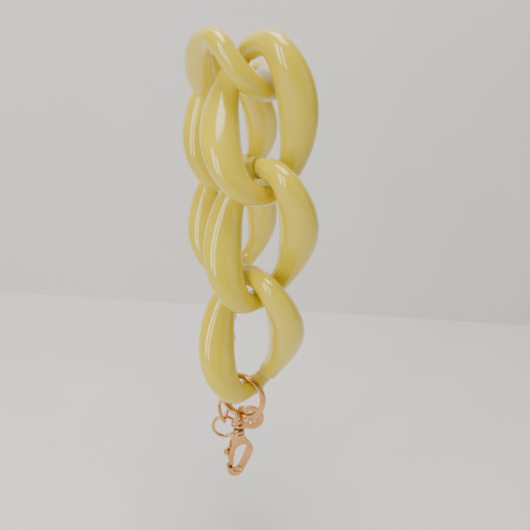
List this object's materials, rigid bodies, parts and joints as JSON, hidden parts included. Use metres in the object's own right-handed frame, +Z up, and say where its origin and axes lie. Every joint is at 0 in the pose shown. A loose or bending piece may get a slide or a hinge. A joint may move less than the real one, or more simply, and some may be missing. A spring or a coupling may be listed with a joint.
{
  "type": "bracelet",
  "caption": "Chunky curb-link bracelet hanging closed, with glossy links, jump rings, a swivel lobster clasp, an extender chain and a round tag.",
  "frame": {"origin": "on the axis of the bar the bracelet hangs over, under its top link", "axes": "+X along the bar, +Y away from the viewer, +Z up"},
  "size_m": [0.0394, 0.0538, 0.1402],
  "materials": {
    "yellow_resin": "glossy opaque poured resin",
    "gold_plate": "polished warm gold plating",
    "spring_steel": "plain wire"
  },
  "bodies": {
    "link_top": {"link_top": "yellow_resin"},
    "link_front_1": {"link_front_1": "yellow_resin"},
    "link_front_2": {"link_front_2": "yellow_resin"},
    "link_front_3": {"link_front_3": "yellow_resin"},
    "link_rear_1": {"link_rear_1": "yellow_resin"},
    "link_rear_2": {"link_rear_2": "yellow_resin"},
    "jump_ring_front": {"jump_ring_front": "gold_plate"},
    "jump_ring_rear": {"jump_ring_rear": "gold_plate"},
    "extender_link_1": {"extender_link_1": "gold_plate"},
    "extender_link_2": {"extender_link_2": "gold_plate"},
    "extender_link_3": {"extender_link_3": "gold_plate"},
    "extender_link_4": {"extender_link_4": "gold_plate"},
    "extender_link_5": {"extender_link_5": "gold_plate"},
    "extender_link_6": {"extender_link_6": "gold_plate"},
    "tag_ring": {"tag_ring": "gold_plate"},
    "tag_small_ring": {"tag_small_ring": "gold_plate"},
    "tag_disc": {"tag_disc": "gold_plate"},
    "clasp_eye": {"clasp_eye": "gold_plate"},
    "clasp_body": {"clasp_body": "gold_plate", "clasp_gate_pin": "gold_plate", "clasp_spring": "spring_steel"},
    "clasp_gate": {"clasp_gate": "gold_plate"}
  },
  "joints": [
    {"name": "link_front_1_swing", "type": "hinge", "parent": "link_top", "child": "link_front_1", "pos_m": [0.0069, -0.00904, 0.01338], "axis": [1, 0, 0], "range_deg": [-3, 3]},
    {"name": "link_front_2_swing", "type": "hinge", "parent": "link_front_1", "child": "link_front_2", "pos_m": [0.009, -0.01442, -0.0155], "axis": [1, 0, 0], "range_deg": [-3, 3]},
    {"name": "link_front_3_swing", "type": "hinge", "parent": "link_front_2", "child": "link_front_3", "pos_m": [0.0081, -0.01383, -0.04393], "axis": [1, 0, 0], "range_deg": [-2, 2]},
    {"name": "jump_ring_front_swing", "type": "hinge", "parent": "link_front_3", "child": "jump_ring_front", "pos_m": [0.0064, -0.01224, -0.07251], "axis": [1, 0, 0], "range_deg": [-5, 5]},
    {"name": "clasp_eye_swing", "type": "hinge", "parent": "jump_ring_front", "child": "clasp_eye", "pos_m": [0.006, -0.01227, -0.08336], "axis": [1, 0, 0], "range_deg": [-6, 6]},
    {"name": "link_rear_1_swing", "type": "hinge", "parent": "link_top", "child": "link_rear_1", "pos_m": [-0.0023, 0.01997, 0.00654], "axis": [1, 0, 0], "range_deg": [-3, 3]},
    {"name": "link_rear_2_swing", "type": "hinge", "parent": "link_rear_1", "child": "link_rear_2", "pos_m": [-0.0007, 0.02514, -0.02196], "axis": [1, 0, 0], "range_deg": [-3, 3]},
    {"name": "jump_ring_rear_swing", "type": "hinge", "parent": "link_rear_2", "child": "jump_ring_rear", "pos_m": [-0.0005, 0.02306, -0.05054], "axis": [1, 0, 0], "range_deg": [-5, 5]},
    {"name": "extender_link_1_swing", "type": "hinge", "parent": "jump_ring_rear", "child": "extender_link_1", "pos_m": [-0.0005, 0.02309, -0.06139], "axis": [1, 0, 0], "range_deg": [-6, 6]},
    {"name": "extender_link_2_swing", "type": "hinge", "parent": "extender_link_1", "child": "extender_link_2", "pos_m": [-0.0005, 0.02309, -0.07004], "axis": [1, 0, 0], "range_deg": [-6, 6]},
    {"name": "extender_link_3_swing", "type": "hinge", "parent": "extender_link_2", "child": "extender_link_3", "pos_m": [-0.0005, 0.02309, -0.0787], "axis": [1, 0, 0], "range_deg": [-6, 6]},
    {"name": "extender_link_4_swing", "type": "hinge", "parent": "extender_link_3", "child": "extender_link_4", "pos_m": [-0.0005, 0.02309, -0.08735], "axis": [1, 0, 0], "range_deg": [-6, 6]},
    {"name": "extender_link_5_swing", "type": "hinge", "parent": "extender_link_4", "child": "extender_link_5", "pos_m": [-0.0005, 0.02309, -0.09599], "axis": [1, 0, 0], "range_deg": [-6, 6]},
    {"name": "extender_link_6_swing", "type": "hinge", "parent": "extender_link_5", "child": "extender_link_6", "pos_m": [-0.0005, 0.02309, -0.10465], "axis": [1, 0, 0], "range_deg": [-6, 6]},
    {"name": "tag_ring_swing", "type": "hinge", "parent": "extender_link_6", "child": "tag_ring", "pos_m": [-0.0005, 0.02309, -0.1133], "axis": [1, 0, 0], "range_deg": [-6, 6]},
    {"name": "tag_small_ring_swing", "type": "hinge", "parent": "tag_ring", "child": "tag_small_ring", "pos_m": [0.00409, 0.02309, -0.11548], "axis": [1, 0, 0], "range_deg": [-4, 4]},
    {"name": "tag_disc_swing", "type": "hinge", "parent": "tag_small_ring", "child": "tag_disc", "pos_m": [0.00872, 0.02309, -0.11362], "axis": [1, 0, 0], "range_deg": [-4, 4]},
    {"name": "clasp_swivel", "type": "hinge", "parent": "clasp_eye", "child": "clasp_body", "pos_m": [0.006, -0.01227, -0.09009], "axis": [0, 0, 1], "range_deg": [-60, 60]},
    {"name": "clasp_gate_hinge", "type": "hinge", "parent": "clasp_body", "child": "clasp_gate", "pos_m": [0.00428, -0.01307, -0.09469], "axis": [0.4226, -0.9063, 0], "range_deg": [0, 20], "stiffness_Nm_per_rad": 0.0002, "springref_deg": -28.65}
  ]
}
